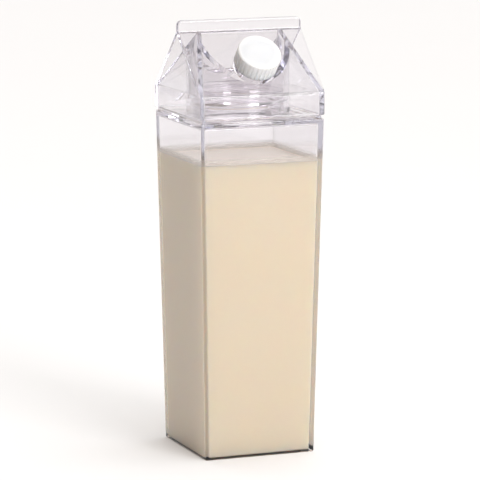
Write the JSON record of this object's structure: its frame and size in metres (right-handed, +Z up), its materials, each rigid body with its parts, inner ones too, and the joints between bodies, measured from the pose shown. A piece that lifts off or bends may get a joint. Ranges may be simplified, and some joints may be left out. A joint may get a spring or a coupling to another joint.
{
  "type": "filled plastic milk bottle",
  "caption": "Clear square plastic bottle shaped like a gable-topped milk carton, with a screw-on roof-shaped lid, a white screw cap on its spout and a milk drink inside.",
  "frame": {"origin": "middle of the flat underside", "axes": "+Z up, the ridge and the fin run along X, and the front slope with the spout and the cap looks along -Y"},
  "size_m": [0.0786, 0.0823, 0.26],
  "materials": {
    "clear_body": "clear, polished, with moulded edges",
    "clear_lid": "clear, polished, with moulded edges",
    "white_cap": "satin white moulding with fine ribs round its side",
    "milk": "creamy liquid with a soft, slightly translucent surface"
  },
  "bodies": {
    "root": {"bottle_body": "clear_body", "gable_lid": "clear_lid", "screw_cap": "white_cap", "milk_drink": "milk"}
  },
  "joints": []
}
